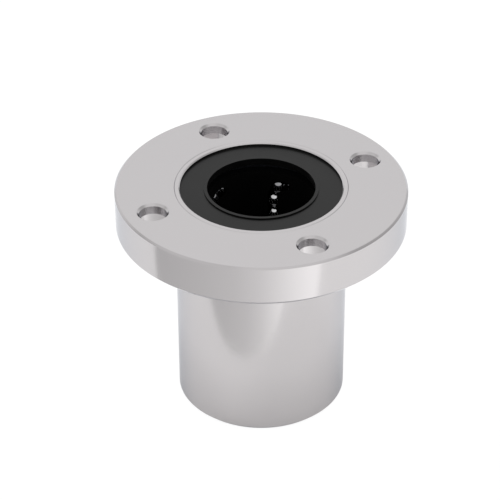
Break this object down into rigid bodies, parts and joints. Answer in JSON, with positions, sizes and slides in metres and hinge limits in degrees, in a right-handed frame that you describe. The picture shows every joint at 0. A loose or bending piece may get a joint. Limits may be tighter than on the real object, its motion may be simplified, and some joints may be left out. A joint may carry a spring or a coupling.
{
  "type": "flanged linear bearing",
  "caption": "Round-flanged linear ball bearing: steel sleeve with a four-hole flange, black seals and retainer, and recirculating balls round the shaft hole.",
  "frame": {"origin": "centre of the sleeve's end face, which it stands on", "axes": "+Z along the shaft axis, from the sleeve's end to the flange's outer face; the screw holes lie on the diagonals of X and Y"},
  "size_m": [0.054, 0.054, 0.045],
  "materials": {
    "flange_steel": "ground and plated, satin",
    "sleeve_steel": "finely ground, half bright",
    "retainer_resin": "moulded, dark",
    "seal_rubber": "moulded, satin",
    "spring_steel": "blued",
    "ball_steel": "polished"
  },
  "bodies": {
    "housing": {"flange": "flange_steel", "bearing_sleeve": "sleeve_steel", "ball_retainer": "retainer_resin", "flange_end_seal": "seal_rubber", "sleeve_end_seal": "seal_rubber", "flange_end_ring": "spring_steel", "sleeve_end_ring": "spring_steel"},
    "load_row_body_1": {"load_row_1": "ball_steel"},
    "return_row_body_1": {"return_row_1": "ball_steel"},
    "upper_turn_balls_body_1": {"upper_turn_balls_1": "ball_steel"},
    "lower_turn_balls_body_1": {"lower_turn_balls_1": "ball_steel"},
    "load_row_body_2": {"load_row_2": "ball_steel"},
    "return_row_body_2": {"return_row_2": "ball_steel"},
    "upper_turn_balls_body_2": {"upper_turn_balls_2": "ball_steel"},
    "lower_turn_balls_body_2": {"lower_turn_balls_2": "ball_steel"},
    "load_row_body_3": {"load_row_3": "ball_steel"},
    "return_row_body_3": {"return_row_3": "ball_steel"},
    "upper_turn_balls_body_3": {"upper_turn_balls_3": "ball_steel"},
    "lower_turn_balls_body_3": {"lower_turn_balls_3": "ball_steel"},
    "load_row_body_4": {"load_row_4": "ball_steel"},
    "return_row_body_4": {"return_row_4": "ball_steel"},
    "upper_turn_balls_body_4": {"upper_turn_balls_4": "ball_steel"},
    "lower_turn_balls_body_4": {"lower_turn_balls_4": "ball_steel"},
    "load_row_body_5": {"load_row_5": "ball_steel"},
    "return_row_body_5": {"return_row_5": "ball_steel"},
    "upper_turn_balls_body_5": {"upper_turn_balls_5": "ball_steel"},
    "lower_turn_balls_body_5": {"lower_turn_balls_5": "ball_steel"}
  },
  "joints": [
    {"name": "circuit_1_loaded_row_slide", "type": "slide", "parent": "housing", "child": "load_row_body_1", "axis": [0, 0, 1], "range_m": [-0.00045, 0.00115]},
    {"name": "circuit_1_return_row_slide", "type": "slide", "parent": "housing", "child": "return_row_body_1", "axis": [0, 0, -1], "range_m": [-0.00045, 0.00115]},
    {"name": "circuit_1_upper_turn", "type": "hinge", "parent": "housing", "child": "upper_turn_balls_body_1", "pos_m": [0.01153, 0.00241, 0.0361], "axis": [0.9246, 0.381, 0], "range_deg": [-9.28, 23.65]},
    {"name": "circuit_1_lower_turn", "type": "hinge", "parent": "housing", "child": "lower_turn_balls_body_1", "pos_m": [0.01153, 0.00241, 0.0089], "axis": [0.9246, 0.381, 0], "range_deg": [-9.28, 23.65]},
    {"name": "circuit_2_loaded_row_slide", "type": "slide", "parent": "housing", "child": "load_row_body_2", "axis": [0, 0, 1], "range_m": [-0.00045, 0.00115]},
    {"name": "circuit_2_return_row_slide", "type": "slide", "parent": "housing", "child": "return_row_body_2", "axis": [0, 0, -1], "range_m": [-0.00045, 0.00115]},
    {"name": "circuit_2_upper_turn", "type": "hinge", "parent": "housing", "child": "upper_turn_balls_body_2", "pos_m": [0.00127, 0.01171, 0.0361], "axis": [-0.0767, 0.9971, 0], "range_deg": [-9.28, 23.65]},
    {"name": "circuit_2_lower_turn", "type": "hinge", "parent": "housing", "child": "lower_turn_balls_body_2", "pos_m": [0.00127, 0.01171, 0.0089], "axis": [-0.0767, 0.9971, 0], "range_deg": [-9.28, 23.65]},
    {"name": "circuit_3_loaded_row_slide", "type": "slide", "parent": "housing", "child": "load_row_body_3", "axis": [0, 0, 1], "range_m": [-0.00045, 0.00115]},
    {"name": "circuit_3_return_row_slide", "type": "slide", "parent": "housing", "child": "return_row_body_3", "axis": [0, 0, -1], "range_m": [-0.00045, 0.00115]},
    {"name": "circuit_3_upper_turn", "type": "hinge", "parent": "housing", "child": "upper_turn_balls_body_3", "pos_m": [-0.01074, 0.00483, 0.0361], "axis": [-0.972, 0.2352, 0], "range_deg": [-9.28, 23.65]},
    {"name": "circuit_3_lower_turn", "type": "hinge", "parent": "housing", "child": "lower_turn_balls_body_3", "pos_m": [-0.01074, 0.00483, 0.0089], "axis": [-0.972, 0.2352, 0], "range_deg": [-9.28, 23.65]},
    {"name": "circuit_4_loaded_row_slide", "type": "slide", "parent": "housing", "child": "load_row_body_4", "axis": [0, 0, 1], "range_m": [-0.00045, 0.00115]},
    {"name": "circuit_4_return_row_slide", "type": "slide", "parent": "housing", "child": "return_row_body_4", "axis": [0, 0, -1], "range_m": [-0.00045, 0.00115]},
    {"name": "circuit_4_upper_turn", "type": "hinge", "parent": "housing", "child": "upper_turn_balls_body_4", "pos_m": [-0.00791, -0.00872, 0.0361], "axis": [-0.524, -0.8517, 0], "range_deg": [-9.28, 23.65]},
    {"name": "circuit_4_lower_turn", "type": "hinge", "parent": "housing", "child": "lower_turn_balls_body_4", "pos_m": [-0.00791, -0.00872, 0.0089], "axis": [-0.524, -0.8517, 0], "range_deg": [-9.28, 23.65]},
    {"name": "circuit_5_loaded_row_slide", "type": "slide", "parent": "housing", "child": "load_row_body_5", "axis": [0, 0, 1], "range_m": [-0.00045, 0.00115]},
    {"name": "circuit_5_return_row_slide", "type": "slide", "parent": "housing", "child": "return_row_body_5", "axis": [0, 0, -1], "range_m": [-0.00045, 0.00115]},
    {"name": "circuit_5_upper_turn", "type": "hinge", "parent": "housing", "child": "upper_turn_balls_body_5", "pos_m": [0.00585, -0.01022, 0.0361], "axis": [0.6481, -0.7616, 0], "range_deg": [-9.28, 23.65]},
    {"name": "circuit_5_lower_turn", "type": "hinge", "parent": "housing", "child": "lower_turn_balls_body_5", "pos_m": [0.00585, -0.01022, 0.0089], "axis": [0.6481, -0.7616, 0], "range_deg": [-9.28, 23.65]}
  ],
  "couplings": [
    {"joint": "circuit_1_return_row_slide", "follows": "circuit_1_loaded_row_slide", "ratio": 1},
    {"joint": "circuit_1_upper_turn", "follows": "circuit_1_loaded_row_slide", "rad_per_m": 358.11},
    {"joint": "circuit_1_lower_turn", "follows": "circuit_1_loaded_row_slide", "rad_per_m": 358.11},
    {"joint": "circuit_2_return_row_slide", "follows": "circuit_2_loaded_row_slide", "ratio": 1},
    {"joint": "circuit_2_upper_turn", "follows": "circuit_2_loaded_row_slide", "rad_per_m": 358.11},
    {"joint": "circuit_2_lower_turn", "follows": "circuit_2_loaded_row_slide", "rad_per_m": 358.11},
    {"joint": "circuit_3_return_row_slide", "follows": "circuit_3_loaded_row_slide", "ratio": 1},
    {"joint": "circuit_3_upper_turn", "follows": "circuit_3_loaded_row_slide", "rad_per_m": 358.11},
    {"joint": "circuit_3_lower_turn", "follows": "circuit_3_loaded_row_slide", "rad_per_m": 358.11},
    {"joint": "circuit_4_return_row_slide", "follows": "circuit_4_loaded_row_slide", "ratio": 1},
    {"joint": "circuit_4_upper_turn", "follows": "circuit_4_loaded_row_slide", "rad_per_m": 358.11},
    {"joint": "circuit_4_lower_turn", "follows": "circuit_4_loaded_row_slide", "rad_per_m": 358.11},
    {"joint": "circuit_5_return_row_slide", "follows": "circuit_5_loaded_row_slide", "ratio": 1},
    {"joint": "circuit_5_upper_turn", "follows": "circuit_5_loaded_row_slide", "rad_per_m": 358.11},
    {"joint": "circuit_5_lower_turn", "follows": "circuit_5_loaded_row_slide", "rad_per_m": 358.11}
  ]
}
